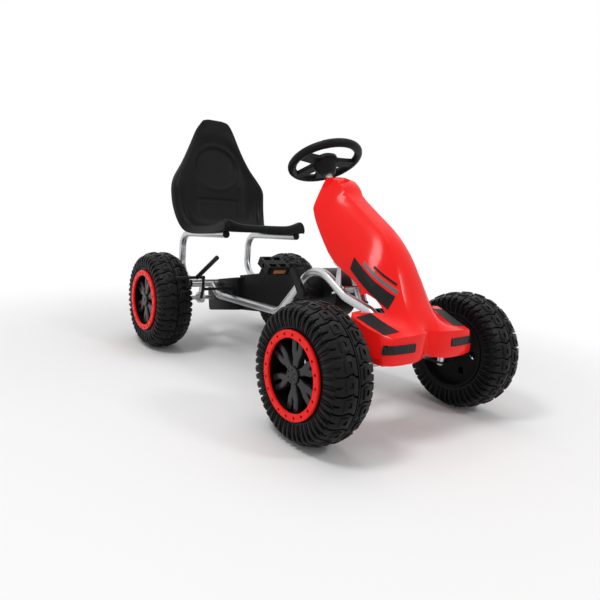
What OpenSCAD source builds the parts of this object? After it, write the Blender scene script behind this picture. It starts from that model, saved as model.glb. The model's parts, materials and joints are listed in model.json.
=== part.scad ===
// Pedal go kart: tubular steel frame on four wide treaded wheels, chain drive
// from a one-piece crank to the rear axle, moulded seat and front fairing.
// Millimetres. +X is the driver's left, the front faces -Y, +Z is up.
// The origin is on the ground, in the middle of the outer box.

/* [Wheels] */
// Radius of a tyre over its lugs
wheel_r = 184; // [174:1:194]
// Width of a tyre
tyre_w = 132; // [124:1:140]
// Height of the tread lugs
lug_h = 7; // [4:0.5:9]
// Number of tread pitches round a tyre
tread_count = 24; // [16:1:26]
// Radius of the rim barrel, where the tyre sits
rim_r = 112; // [106:1:116]
// Radius of the wheel hub
hub_r = 24; // [20:1:28]
// Thickness of the coloured trim ring
ring_t = 7; // [4:0.5:9]
// Radial width of the trim ring
ring_w = 20; // [14:1:24]
// Number of bolt holes in the trim ring
ring_holes = 20; // [12:1:28]
// Number of spokes
spoke_count = 6; // [5:1:8]
// Radius of the axles
axle_r = 8; // [6:0.5:9]

/* [Chassis] */
// Distance between the wheel centre planes, left to right
track = 612; // [600:1:630]
// Front axle, along the kart
front_axle_y = -491; // [-500:1:-480]
// Rear axle, along the kart
rear_axle_y = 471; // [460:1:480]
// Radius of the frame and seat tubes
tube_r = 14; // [12:0.5:15]
// Wall of the tubes
tube_wall = 2; // [1.5:0.25:3]
// Half the distance between the two side tubes
rail_x = 85; // [80:0.5:88]
// Radius of the front axle beam
beam_r = 16; // [15.5:0.5:19]
// Radius of the rear cross tube
cross_r = 15; // [15:0.5:18]
// Distance from a wheel's centre plane in to its kingpin
king_in = 94; // [92:1:98]
// Radius of the kingpins
king_r = 6; // [5:0.5:7]

/* [Steering] */
// Outer radius of the steering wheel
steer_r = 123; // [110:1:135]
// Radius of the steering wheel's rim section
grip_r = 13; // [10:0.5:15]
// Lean of the steering column from upright
column_tilt = 29.5; // [28:0.5:31]
// Radius of the steering column
column_r = 11; // [9:0.5:12]
// Length of the column arm that moves the tie rods
pitman_len = 45; // [40:1:50]
// Length of the steering arm on a knuckle
knuckle_arm = 66; // [60:1:72]

/* [Drive] */
// Teeth on the chainring
ring_teeth = 32; // [28:1:34]
// Teeth on the rear sprocket
sprocket_teeth = 16; // [14:1:18]
// Crank length, axle to pedal
crank_len = 102; // [95:1:103]
// Angle of the right crank from the rear horizon
crank_angle = 52; // [0:1:90]
// Crank axle, along the kart
crank_y = -185; // [-190:1:-180]
// Crank axle, above the ground
crank_z = 322; // [318:1:326]
// Half width of the chain case
case_half = 45; // [40:1:50]
// Half width of the box round the rear sprocket
box_half = 62; // [54:1:64]
// Wall of the chain case
case_wall = 3; // [2:0.5:4]

/* [Seat and fairing] */
// Wall of the seat moulding
seat_wall = 5; // [4:0.5:6]
// Wall of the fairing moulding
fairing_wall = 4; // [3:0.5:4.5]
// Distance from the middle plane to a seat tube
seat_tube_x = 159; // [154:1:160]

/* [Brake] */
// Length of the brake lever
lever_len = 172; // [150:1:190]
// Radius of the brake rod
rod_r = 5.5; // [4.5:0.5:6]

/* [Hidden] */
$fn = 64;

// Colours
steel = "silver";
black = [0.07, 0.07, 0.08];
grey = [0.2, 0.2, 0.21];
red = [0.85, 0.07, 0.05];
amber = [0.9, 0.4, 0.05];
zinc = [0.7, 0.7, 0.72];

// Clearances
run_gap = 0.05;
face_gap = 0.4;
sink = 1;

// Wheel, along its own axis, with the outboard side at +Z and zero at the middle
wheel_x = track / 2;
king_x = wheel_x - king_in;
axle_z = wheel_r;
rim_half = 50;
flange_t = 12;
flange_r = rim_r + 2;
ring_hole_r = 4.2;
barrel_wall = 5;
bead_gap = 0.4;
tread_r = wheel_r - lug_h;
shoulder_r = 30;
lug_root = 3;
hub_in = -60;
hub_out = 56;
nut_seat = 40;
nut_pocket_r = 17;
bush_wall = 2;
bush_len = 20;
axle_end = 52;
nut_t = 9;
nut_r = 13;
spoke_back = 38;
web_back = -34;
web_t = 6;
cap_t = 5;
ring_outer = rim_half + flange_t + ring_t;

// Side tubes, as (y, z) corners from the rear cross tube to the front beam
cross_y = rear_axle_y - 16;
cross_z = axle_z + 62;
beam_z = axle_z + 4;
rail_path = [[cross_y, cross_z], [400, 205], [-27, 228], [-203, 419],
             [-351, 344], [front_axle_y, 316], [front_axle_y, beam_z]];
rail_bend = [60, 60, 100, 80, 50];

// Seat tubes, as (y, z) corners from the front end to the rear cross tube
seat_path = [[238, 464], [593, 434], [593, 262], [cross_y, cross_z]];
seat_bend = [58, 73];
bend_swell = 0.08;
bend_lap = 1;
seat_arm_angle = atan2(seat_path[1][1] - seat_path[0][1], seat_path[1][0] - seat_path[0][0]);

// Steering column, measured along itself from the middle of the steering wheel
steer_y = -97;
steer_z = 739;
column_top = -20;
hub_deep = 50;
head_top = -395;
head_len = 90;
head_r = column_r + 6;
bush_r = column_r + 3;
flange_h = 4;
support_t = 5;
support_d = 56;
pitman_at = -600;
pitman_t = 6;
pin_r = 4;
pin_len = 42;

// Knuckles and tie rods
head_h = 58;
king_boss_r = 12;
plate_t = 6;
plate_r = 14;
web_x = king_x + king_boss_r + 2.5;
collar_r = 13;
arm_in = 7;
eye_r = 9;
eye_h = 10;
open_eye_r = 9;
eye_shift = 8.5;
tie_r = 5;
stub_in = web_x + plate_t;

// Drive line
pitch = 12.7;
chainring_r = pitch / 2 / sin(180 / ring_teeth);
sprocket_r = pitch / 2 / sin(180 / sprocket_teeth);
chain_c = norm([rear_axle_y - crank_y, axle_z - crank_z]);
chain_slope = atan2(axle_z - crank_z, rear_axle_y - crank_y);
roller_r = 3.9;
chain_half_h = 4.2;
chain_in = 2.2;
chain_out = 4.5;
tooth_t = 3;
crank_r = 8;
crank_bush_r = 12;
crank_house_r = 18;
crank_house_w = 24;
bracket_low = 70;
bracket_high = 190;
arm_x = 112;
arm_t = 12;
arm_boss_r = 16;
arm_tip_r = 10;
spindle_r = 6;
pedal_in = 148;
pedal_w = 80;
pedal_d = 72;
pedal_t = 26;
pedal_tilt = 25;
pedal_bar = 9;
reflector_w = 44;
reflector_h = 12;
reflector_t = 5;

// Chain case, along the chain line from the crank axle
case_r = 80;
case_low = 55;
case_len = 490;
box_top = 72;
box_tail = 58;
box_r = 14;
shaft_gap = 3;

// Rear axle carrier
plate_x = 126;
house_r = 22;
house_w = 20;
bearing_r = 14;
cross_half = 182;
shaft_collar = 7.6;

// Fairing bracket and its lip
lip_z = 215;
strip_y = -600;
strip_d = 20;
strip_t = 4;
strip_in = 60;
strip_out = 140;
bracket_x = 105;
screw_r = 3;
screw_x = 120;
screw_head_r = 6;
screw_head_t = 4;
lip_back = -576;
strip_lift = 1;
nut_lift = 4.5;
stay_at = [95, -314, 437.6];
stay_lean = 27.5;
rail_z_at_stay = 360;

// Folds of the fairing, as lines of its net, and the gap between hood and bumper as (y, z)
front_fold = [12];
side_folds = [2, 6, 8, 12];
hood_gap = [[-462, 374], [-490, 363], [-529, 331], [-500, 329.5], [-472, 328], [-440, 328], [-440, 366]];
gap_in = 70;
gap_out = 220;

// Seat fixings
stud_r = 11;
stud_pin_r = 3;
stud_y = [300, 440];
seat_pan_z = [499.6, 480];

// Brake
brake_gap = 20;
brake_y = rear_axle_y - wheel_r + brake_gap;
brake_z = axle_z + 66;
brake_bar_z = axle_z + 111;
brake_arm_x = wheel_x - 101;
brake_bar_out = wheel_x + 12;
lever_x = wheel_x - 74;
brake_foot = 34;
brake_foot_drop = 6;
lever_rise = 33;
lever_r = 8;
brake_house_r = 10;
brake_house_in = 76;
brake_house_out = 118;

// Points on an arc, given as centre, radius, start angle, end angle and steps
function arc(c, r, a0, a1, n) =
    [for (i = [0:n]) let (a = a0 + (a1 - a0) * i / n) c + r * [cos(a), sin(a)]];

// Outline of a tapered link between two round ends on the X axis, a little narrower than its ends
module link_2d(r0, r1, len) {
    waist = 0.93;
    circle(r0);
    translate([len, 0]) circle(r1);
    polygon([[0, -waist * r0], [len, -waist * r1], [len, waist * r1], [0, waist * r0]]);
}

// Cylinder along X from x0 to x1 at (y, z)
module bar_x(x0, x1, y, z, r) {
    translate([min(x0, x1), y, z]) rotate([0, 90, 0]) cylinder(r = r, h = abs(x1 - x0));
}

// Hollow cylinder along X
module sleeve_x(x0, x1, y, z, r_out, r_in) {
    translate([min(x0, x1), y, z]) rotate([0, 90, 0])
        linear_extrude(abs(x1 - x0)) difference() { circle(r_out); circle(r_in); }
}

// Round rod between two points
module rod(a, b, r) {
    d = b - a;
    translate(a) rotate([0, acos(d[2] / norm(d)), atan2(d[1], d[0])]) cylinder(r = r, h = norm(d));
}

// Flat plate in the YZ plane, centred on x
module plate_yz(x, t) {
    translate([x - t / 2, 0, 0]) rotate([90, 0, 90]) linear_extrude(t) children();
}

// Bent tubes: a path of (y, z) corners at one x, with a radius at each bend
function heading(p, i) = atan2(p[i + 1][1] - p[i][1], p[i + 1][0] - p[i][0]);
function turn(p, i) = let (d = heading(p, i) - heading(p, i - 1)) d > 180 ? d - 360 : d < -180 ? d + 360 : d;
function trim(p, bends, i) =
    i == 0 || i == len(p) - 1 ? 0 : bends[i - 1] * tan(abs(turn(p, i)) / 2);

module tube_section(r, wall) {
    difference() {
        circle(r);
        if (wall > 0) circle(r - wall);
    }
}

module bent_tube(x, p, bends, r, wall) {
    last = len(p) - 1;
    for (i = [0:last - 1]) {
        a = heading(p, i);
        t0 = trim(p, bends, i) - (i > 0 ? bend_lap : 0);
        t1 = trim(p, bends, i + 1) - (i + 1 < last ? bend_lap : 0);
        start = p[i] + t0 * [cos(a), sin(a)];
        translate([x, start[0], start[1]]) rotate([a - 90, 0, 0])
            linear_extrude(norm(p[i + 1] - p[i]) - t0 - t1) tube_section(r, wall);
    }
    for (i = [1:last - 1]) {
        a = heading(p, i - 1);
        d = turn(p, i);
        s = sign(d);
        c = p[i] - trim(p, bends, i) * [cos(a), sin(a)] + s * bends[i - 1] * [-sin(a), cos(a)];
        first = a - s * 90;
        translate([x, c[0], c[1]]) rotate([90, 0, 90]) rotate([0, 0, min(first, first + d)])
            rotate_extrude(angle = abs(d)) translate([bends[i - 1], 0])
                tube_section(r + bend_swell, wall > 0 ? wall + 2 * bend_swell : 0);
    }
}

// Moulded sheets: a net of control points is rounded by cutting its corners, with
// the listed lines kept as folds, and the rounded surface gets a wall on its inner side
function has(list, i) = len([for (v = list) if (v == i) v]) > 0;
function bite(sharp, i) = has(sharp, i) ? 0.06 : 0.25;
function cut_corners(p, sharp) = concat([p[0]],
    [for (i = [0:len(p) - 2]) each [
        p[i] + bite(sharp, i) * (p[i + 1] - p[i]), p[i + 1] + bite(sharp, i + 1) * (p[i] - p[i + 1])]],
    [p[len(p) - 1]]);
function transpose(net) = [for (j = [0:len(net[0]) - 1]) [for (row = net) row[j]]];
function round_rows(net, sharp) = [for (row = net) cut_corners(row, sharp)];
function round_net(net, sharp_rows, sharp_columns) =
    transpose(round_rows(transpose(round_rows(net, sharp_columns)), sharp_rows));
function unit(v) = v / norm(v);
function net_normal(net, i, j) =
    let (n = len(net) - 1, m = len(net[0]) - 1)
    unit(cross(net[min(i + 1, n)][j] - net[max(i - 1, 0)][j],
               net[i][min(j + 1, m)] - net[i][max(j - 1, 0)]));
function inner_net(net, wall) =
    [for (i = [0:len(net) - 1]) [for (j = [0:len(net[0]) - 1]) net[i][j] - wall * net_normal(net, i, j)]];
function mirror_row(row) = concat([for (j = [len(row) - 1:-1:1]) [-row[j][0], row[j][1], row[j][2]]], row);

module sheet(net, wall) {
    n = len(net);
    m = len(net[0]);
    back = inner_net(net, wall);
    points = concat([for (row = net) each row], [for (row = back) each row]);
    function at(i, j, side) = side * n * m + i * m + j;
    quads = concat(
        [for (i = [0:n - 2]) for (j = [0:m - 2])
            [at(i, j, 0), at(i, j + 1, 0), at(i + 1, j + 1, 0), at(i + 1, j, 0)]],
        [for (i = [0:n - 2]) for (j = [0:m - 2])
            [at(i, j, 1), at(i + 1, j, 1), at(i + 1, j + 1, 1), at(i, j + 1, 1)]],
        [for (i = [0:n - 2]) each [
            [at(i, 0, 0), at(i + 1, 0, 0), at(i + 1, 0, 1), at(i, 0, 1)],
            [at(i, m - 1, 0), at(i, m - 1, 1), at(i + 1, m - 1, 1), at(i + 1, m - 1, 0)]]],
        [for (j = [0:m - 2]) each [
            [at(0, j, 0), at(0, j, 1), at(0, j + 1, 1), at(0, j + 1, 0)],
            [at(n - 1, j, 0), at(n - 1, j + 1, 0), at(n - 1, j + 1, 1), at(n - 1, j, 1)]]]);
    polyhedron(points, [for (q = quads) each [[q[0], q[1], q[2]], [q[0], q[2], q[3]]]]);
}

// Frame
module rail(side, wall) {
    bent_tube(side * rail_x, rail_path, rail_bend, tube_r, wall);
}

module frame_tube(side) {
    color(steel) difference() {
        rail(side, tube_wall);
        bar_x(-cross_half, cross_half, cross_y, cross_z, cross_r);
        bar_x(-king_x, king_x, front_axle_y, beam_z, beam_r);
    }
}

module frame_tube_right() frame_tube(-1);
module frame_tube_left() frame_tube(1);

module rear_cross_member() {
    dy = rear_axle_y - cross_y;
    dz = axle_z - cross_z;
    color(steel) difference() {
        union() {
            bar_x(-cross_half, cross_half, cross_y, cross_z, cross_r);
            for (side = [-1, 1]) {
                plate_yz(side * (plate_x + plate_t / 2), plate_t)
                    translate([cross_y, cross_z]) rotate(atan2(dz, dy))
                        link_2d(cross_r + plate_t, house_r - 2 * sink, norm([dy, dz]));
                bar_x(side * (plate_x + plate_t / 2 - house_w / 2),
                      side * (plate_x + plate_t / 2 + house_w / 2), rear_axle_y, axle_z, house_r);
            }
        }
        bar_x(-cross_half - sink, cross_half + sink, cross_y, cross_z, cross_r - tube_wall);
        bar_x(-wheel_x, wheel_x, rear_axle_y, axle_z, bearing_r);
    }
}

module rear_axle_bearings() {
    color(black) for (side = [-1, 1])
        sleeve_x(side * (plate_x + plate_t / 2 - house_w / 2),
                 side * (plate_x + plate_t / 2 + house_w / 2),
                 rear_axle_y, axle_z, bearing_r, axle_r + run_gap);
}

module front_axle_beam() {
    color(steel) difference() {
        union() {
            bar_x(-king_x, king_x, front_axle_y, beam_z, beam_r);
            for (side = [-1, 1]) translate([side * king_x, front_axle_y, axle_z - head_h / 2])
                cylinder(r = king_boss_r, h = head_h);
        }
        bar_x(-king_x + king_boss_r + tube_wall, king_x - king_boss_r - tube_wall,
              front_axle_y, beam_z, beam_r - tube_wall);
        for (side = [-1, 1]) translate([side * king_x, front_axle_y, 0])
            cylinder(r = king_r, h = 2 * axle_z);
    }
}

module kingpins() {
    head_at = head_h / 2 + 2 * face_gap + plate_t;
    color(zinc) for (side = [-1, 1]) translate([side * king_x, front_axle_y, axle_z]) {
        translate([0, 0, -head_at]) cylinder(r = king_r, h = 2 * head_at);
        translate([0, 0, head_at]) cylinder(r = king_r + 4, h = king_r, $fn = 6);
        translate([0, 0, -head_at - king_r]) cylinder(r = king_r + 4, h = king_r, $fn = 6);
    }
}

module crank_brackets() {
    leg = heading(rail_path, 2);
    foot = rail_path[2] + bracket_low * [cos(leg), sin(leg)];
    knee = rail_path[2] + bracket_high * [cos(leg), sin(leg)];
    color(black) difference() {
        union() for (side = [-1, 1]) {
            plate_yz(side * rail_x, plate_t) polygon([
                foot, knee,
                [crank_y - crank_house_r * 0.6, crank_z + crank_house_r * 0.6],
                [crank_y + crank_house_r * 0.6, crank_z - crank_house_r * 0.6]]);
            bar_x(side * case_half, side * (rail_x + crank_house_w / 2),
                  crank_y, crank_z, crank_house_r);
        }
        rail(-1, 0);
        rail(1, 0);
        bar_x(-arm_x, arm_x, crank_y, crank_z, crank_bush_r);
    }
}

module crank_bushes() {
    color(grey) for (side = [-1, 1])
        sleeve_x(side * (rail_x - crank_house_w / 2), side * (rail_x + crank_house_w / 2),
                 crank_y, crank_z, crank_bush_r, crank_r + run_gap);
}

// Steering, in the column's own frame with +Z up the column and +Y down and back
module on_column() {
    translate([0, steer_y, steer_z]) rotate([-column_tilt, 0, 0]) children();
}

module steering_support() {
    color(steel) difference() {
        on_column() difference() {
            union() {
                translate([0, 0, head_top - head_len]) cylinder(r = head_r, h = head_len);
                translate([-rail_x, -support_d / 2, head_top - head_len / 2 - support_t / 2])
                    cube([2 * rail_x, support_d, support_t]);
            }
            translate([0, 0, head_top - head_len - sink]) cylinder(r = bush_r, h = head_len + 2 * sink);
        }
        rail(-1, 0);
        rail(1, 0);
    }
}

module column_bushes() {
    color(black) on_column() for (end = [0, 1]) translate([0, 0, head_top - head_len / 2])
        mirror([0, 0, end]) translate([0, 0, head_len / 2]) rotate_extrude() polygon([
            [column_r + run_gap, -bush_len], [bush_r, -bush_len], [bush_r, 0],
            [head_r + 2, 0], [head_r + 2, flange_h], [column_r + run_gap, flange_h]]);
}

module steering_column() {
    top = column_top;
    color(steel) on_column() {
        translate([0, 0, pitman_at - pitman_t]) cylinder(r = column_r, h = top - pitman_at + pitman_t);
        for (z = [head_top + flange_h + face_gap, head_top - head_len - flange_h - face_gap - 8])
            translate([0, 0, z]) cylinder(r = column_r + 5, h = 8);
        translate([0, 0, pitman_at - pitman_t]) linear_extrude(pitman_t)
            rotate(90) link_2d(column_r + 5, eye_r, pitman_len);
        translate([0, pitman_len, pitman_at - pitman_t - pin_len]) cylinder(r = pin_r, h = pin_len);
        translate([0, pitman_len, pitman_at - pitman_t - pin_len]) cylinder(r = pin_r + 9, h = 2);
    }
}

module steering_wheel() {
    rim_c = steer_r - grip_r;
    spokes = [8, 172, 245, 295];
    color(black) on_column() difference() {
        union() {
            rotate_extrude() translate([rim_c, 0]) circle(grip_r);
            rotate_extrude() polygon([
                [0, -hub_deep], [22, -hub_deep], [29, -34], [38, -16], [42, -4], [40, 6], [30, 13], [0, 13]]);
            for (a = spokes) rotate([0, 0, -a]) translate([0, 0, -10]) linear_extrude(14)
                polygon([[34, -19], [60, -17], [rim_c - 4, -15], [rim_c - 4, 15], [60, 17], [34, 19]]);
        }
        translate([0, 0, -hub_deep - sink]) cylinder(r = column_r, h = hub_deep + sink + column_top);
    }
}

module steering_wheel_cap() {
    color(grey) on_column() translate([0, 0, 13]) rotate_extrude()
        polygon(concat([[0, 0], [26, 0]], arc([0, -46], 53, 61, 90, 6)));
}

// Knuckles and tie rods, drawn for the left side and mirrored for the right
module on_side(side) {
    mirror([side < 0 ? 1 : 0, 0, 0]) children();
}

module knuckle(side) {
    low = axle_z - head_h / 2 - face_gap - plate_t;
    high = axle_z + head_h / 2 + face_gap;
    arm_a = atan2(knuckle_arm, -arm_in);
    color(black) on_side(side) difference() {
        union() {
            translate([king_x, front_axle_y, high]) linear_extrude(plate_t) {
                circle(plate_r);
                translate([0, sink - plate_r]) square([stub_in - king_x - sink, 2 * (plate_r - sink)]);
            }
            translate([king_x, front_axle_y, low]) linear_extrude(plate_t) {
                translate([0, sink - plate_r]) square([stub_in - king_x - sink, 2 * (plate_r - sink)]);
                rotate(arm_a) link_2d(plate_r, eye_r, norm([arm_in, knuckle_arm]));
            }
            translate([web_x, front_axle_y - plate_r, low])
                cube([plate_t, 2 * plate_r, high + plate_t - low]);
            bar_x(web_x + sink, wheel_x + axle_end, front_axle_y, axle_z, axle_r);
            bar_x(web_x + sink, wheel_x + hub_in - face_gap, front_axle_y, axle_z, collar_r);
            translate([king_x - arm_in, front_axle_y + knuckle_arm, low + sink])
                cylinder(r = pin_r, h = plate_t + eye_h + 3);
        }
        translate([king_x, front_axle_y, 0]) cylinder(r = king_r + run_gap, h = 2 * axle_z);
    }
}

module knuckle_right() knuckle(-1);
module knuckle_left() knuckle(1);

module axle_nut_front(side) {
    color(zinc) on_side(side) translate([0, front_axle_y, axle_z]) axle_nut();
}

module axle_nut_front_right() axle_nut_front(-1);
module axle_nut_front_left() axle_nut_front(1);

module axle_nut() {
    translate([wheel_x + nut_seat + face_gap, 0, 0]) rotate([0, 90, 0]) difference() {
        cylinder(r = nut_r, h = nut_t, $fn = 6);
        translate([0, 0, -sink]) cylinder(r = axle_r, h = nut_t + 2 * sink);
    }
}

// Place of a pin on the column arm, in the kart's frame
function on_axis(x, y, z) = [x, steer_y + y * cos(column_tilt) + z * sin(column_tilt),
                             steer_z - y * sin(column_tilt) + z * cos(column_tilt)];

module tie_rod(side) {
    eye_z = axle_z - head_h / 2 + face_gap / 2;
    outer = [king_x - arm_in, front_axle_y + knuckle_arm, eye_z + eye_h / 2];
    inner = on_axis(0, pitman_len, pitman_at - pitman_t - pin_len / 2 + 1 - side * eye_shift);
    way = unit(inner - outer);
    color(zinc) on_side(side) {
        difference() {
            union() {
                translate(outer - [0, 0, eye_h / 2]) cylinder(r = eye_r, h = eye_h);
                rod(outer + (pin_r + 2) * way, inner - (open_eye_r + 2) * way, tie_r);
            }
            translate(outer - [0, 0, eye_h]) cylinder(r = pin_r + run_gap, h = 2 * eye_h);
        }
        difference() {
            translate(inner) rotate([-column_tilt, 0, 0]) translate([0, 0, -eye_h / 2])
                linear_extrude(eye_h) difference() { circle(open_eye_r + 4); circle(open_eye_r); }
            rod(outer + (pin_r + 2) * way, inner - (open_eye_r + 2) * way, tie_r);
        }
    }
}

module tie_rod_right() tie_rod(-1);
module tie_rod_left() tie_rod(1);

// Wheels, along their own axis
module on_wheel(side, y) {
    translate([side * wheel_x, y, axle_z]) rotate([0, side * 90, 0]) children();
}

module wedge(points, a0, span) {
    rotate([0, 0, a0]) rotate_extrude(angle = span) polygon(points);
}

module tyre(side, y) {
    bead_r = flange_r + bead_gap;
    wall_z = tyre_w / 2;
    side_top = rim_half + flange_t;
    half = concat([[rim_r, rim_half], [bead_r, rim_half], [bead_r, side_top - 2], [bead_r + 4, side_top]],
                  arc([tread_r - shoulder_r, wall_z - shoulder_r], shoulder_r, 90, 0, 6));
    profile = concat(half, [for (i = [len(half) - 1:-1:0]) [half[i][0], -half[i][1]]]);
    step = 360 / tread_count;
    block_in = 4;
    block_out = wall_z * 0.52;
    shoulder_in = wall_z * 0.60;
    color(black) on_wheel(side, y) union() {
        rotate_extrude($fn = 96) polygon(profile);
        for (i = [0:tread_count - 1]) for (face = [-1, 1]) {
            a = (i + face / 4) * step;
            mirror([0, 0, face < 0 ? 1 : 0]) {
                difference() {
                    wedge([[tread_r - lug_root, block_in], [wheel_r, block_in],
                           [wheel_r - 1, block_out], [tread_r - lug_root, block_out]], a, step * 0.74);
                    wedge([[wheel_r - 4, block_in + 9], [wheel_r + 1, block_in + 9],
                           [wheel_r + 1, block_out - 8], [wheel_r - 4, block_out - 8]],
                          a + step * 0.24, step * 0.26);
                }
                wedge([[tread_r - 12, shoulder_in], [wheel_r - 2, shoulder_in],
                       [wheel_r - 7, wall_z - 14], [wheel_r - 24, wall_z - 2], [wheel_r - 36, wall_z - 1],
                       [wheel_r - 36, wall_z - 12]], a + step * 0.3, step * 0.46);
            }
        }
    }
}

module rim(side, y, bore) {
    barrel_in = rim_r - barrel_wall;
    ring_in = flange_r - ring_w;
    color(grey) on_wheel(side, y) difference() {
        union() {
            rotate_extrude() polygon([
                [barrel_in, -rim_half - flange_t], [flange_r, -rim_half - flange_t], [flange_r, -rim_half],
                [rim_r, -rim_half], [rim_r, rim_half], [flange_r, rim_half], [flange_r, rim_half + flange_t],
                [ring_in, rim_half + flange_t], [barrel_in, rim_half]]);
            rotate_extrude() polygon([
                [bore, hub_in], [hub_r, hub_in], [hub_r, hub_out], [nut_pocket_r, hub_out],
                [nut_pocket_r, nut_seat], [bore, nut_seat]]);
            rotate_extrude() polygon([
                [hub_r - sink, web_back], [barrel_in + sink, web_back],
                [barrel_in + sink, web_back + web_t], [hub_r - sink, web_back + web_t]]);
            for (i = [0:spoke_count - 1]) rotate([0, 0, i * 360 / spoke_count])
                translate([0, 0, spoke_back]) linear_extrude(rim_half - sink - spoke_back) spoke_2d(barrel_in);
        }
        for (i = [0:spoke_count - 1]) rotate([0, 0, (i + 0.5) * 360 / spoke_count])
            translate([barrel_in * 0.62, 0, web_back - sink]) cylinder(r = web_t * 2, h = web_t + 2 * sink);
    }
}

module spoke_2d(reach) {
    difference() {
        polygon([[hub_r - 3, -10], [reach * 0.48, -9], [reach * 0.66, -19], [reach + sink, -24],
                 [reach + sink, 24], [reach * 0.66, 19], [reach * 0.48, 9], [hub_r - 3, 10]]);
        polygon([[reach * 0.56, -2], [reach * 0.7, -8], [reach - 6, -12],
                 [reach - 6, 12], [reach * 0.7, 8], [reach * 0.56, 2]]);
    }
}

module trim_ring(side, y) {
    inner = flange_r - ring_w;
    color(red) on_wheel(side, y) translate([0, 0, rim_half + flange_t]) difference() {
        rotate_extrude() polygon([
            [inner, 0], [flange_r, 0], [flange_r, ring_t - 2], [flange_r - 2, ring_t],
            [inner + 2, ring_t], [inner, ring_t - 2]]);
        for (i = [0:ring_holes - 1]) rotate([0, 0, i * 360 / ring_holes])
            translate([inner + ring_w / 2, 0, -sink]) cylinder(r = ring_hole_r, h = ring_t + 2 * sink, $fn = 24);
    }
}

module hub_cap(side, y) {
    color(grey) on_wheel(side, y) translate([0, 0, hub_out]) difference() {
        rotate_extrude() polygon([
            [0, 0], [hub_r - 1, 0], [hub_r - 1, cap_t - 2], [hub_r - 4, cap_t], [8, cap_t], [6, cap_t + 2], [0, cap_t + 2]]);
        for (i = [0:spoke_count - 1]) rotate([0, 0, i * 360 / spoke_count])
            translate([hub_r * 0.6, 0, cap_t - 2]) cylinder(r = 2.4, h = cap_t, $fn = 24);
    }
}

module hub_bushes(side, y) {
    color(black) on_wheel(side, y) for (z = [hub_in, nut_seat - bush_len]) translate([0, 0, z])
        linear_extrude(bush_len) difference() { circle(axle_r + bush_wall); circle(axle_r + run_gap); }
}

module tyre_front_right() tyre(-1, front_axle_y);
module tyre_front_left() tyre(1, front_axle_y);
module tyre_rear_right() tyre(-1, rear_axle_y);
module tyre_rear_left() tyre(1, rear_axle_y);
module rim_front_right() rim(-1, front_axle_y, axle_r + bush_wall);
module rim_front_left() rim(1, front_axle_y, axle_r + bush_wall);
module rim_rear_right() rim(-1, rear_axle_y, axle_r);
module rim_rear_left() rim(1, rear_axle_y, axle_r + bush_wall);
module trim_ring_front_right() trim_ring(-1, front_axle_y);
module trim_ring_front_left() trim_ring(1, front_axle_y);
module trim_ring_rear_right() trim_ring(-1, rear_axle_y);
module trim_ring_rear_left() trim_ring(1, rear_axle_y);
module hub_cap_front_right() hub_cap(-1, front_axle_y);
module hub_cap_front_left() hub_cap(1, front_axle_y);
module hub_cap_rear_right() hub_cap(-1, rear_axle_y);
module hub_cap_rear_left() hub_cap(1, rear_axle_y);
module hub_bushes_front_right() hub_bushes(-1, front_axle_y);
module hub_bushes_front_left() hub_bushes(1, front_axle_y);
module hub_bushes_rear_left() hub_bushes(1, rear_axle_y);

// Drive line
module rear_axle() {
    stop = plate_x + plate_t / 2 + house_w / 2 + face_gap;
    color(zinc) {
        bar_x(-wheel_x - axle_end, wheel_x + axle_end, rear_axle_y, axle_z, axle_r);
        for (side = [-1, 1]) {
            bar_x(side * stop, side * (stop + shaft_collar), rear_axle_y, axle_z, collar_r);
            bar_x(side * (wheel_x + hub_in - shaft_collar), side * (wheel_x + hub_in) - (side > 0 ? face_gap : 0),
                  rear_axle_y, axle_z, collar_r);
        }
    }
}

module axle_nuts_rear() {
    color(zinc) for (side = [-1, 1]) on_side(side) translate([0, rear_axle_y, axle_z]) axle_nut();
}

// Toothed wheel in the XY plane
module toothed(teeth, r, bore, boss, boss_w) {
    step = 360 / teeth;
    root = r - roller_r;
    tip = r + roller_r;
    outline = [for (i = [0:teeth - 1]) each [
        root * [cos((i - 0.28) * step), sin((i - 0.28) * step)],
        tip * [cos((i - 0.1) * step), sin((i - 0.1) * step)],
        tip * [cos((i + 0.1) * step), sin((i + 0.1) * step)],
        root * [cos((i + 0.28) * step), sin((i + 0.28) * step)]]];
    difference() {
        union() {
            translate([0, 0, -tooth_t / 2]) linear_extrude(tooth_t) polygon(outline);
            translate([0, 0, -boss_w / 2]) cylinder(r = boss, h = boss_w);
        }
        translate([0, 0, -boss_w]) cylinder(r = bore, h = 2 * boss_w);
    }
}

module rear_sprocket() {
    color(zinc) translate([0, rear_axle_y, axle_z]) rotate([0, 90, 0])
        toothed(sprocket_teeth, sprocket_r, axle_r, axle_r + 8, 30);
}

module chainring() {
    web_r = chainring_r * 0.58;
    color(zinc) translate([0, crank_y, crank_z]) rotate([0, 90, 0]) difference() {
        toothed(ring_teeth, chainring_r, crank_r, crank_r + 10, 24);
        for (i = [0:4]) rotate([0, 0, i * 72]) translate([web_r, 0, -tooth_t])
            cylinder(r = chainring_r * 0.2, h = 2 * tooth_t);
    }
}

// Chain line: +X runs from the crank axle to the rear axle
module on_chain_line() {
    translate([0, crank_y, crank_z]) rotate([chain_slope, 0, 0]) rotate([90, 0, 90]) children();
}

module chain_loop_2d(grow) {
    lean = acos((chainring_r - sprocket_r) / chain_c);
    polygon(concat(arc([0, 0], chainring_r + grow, lean, 360 - lean, 28),
                   arc([chain_c, 0], sprocket_r + grow, -lean, lean, 16)));
}

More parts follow.
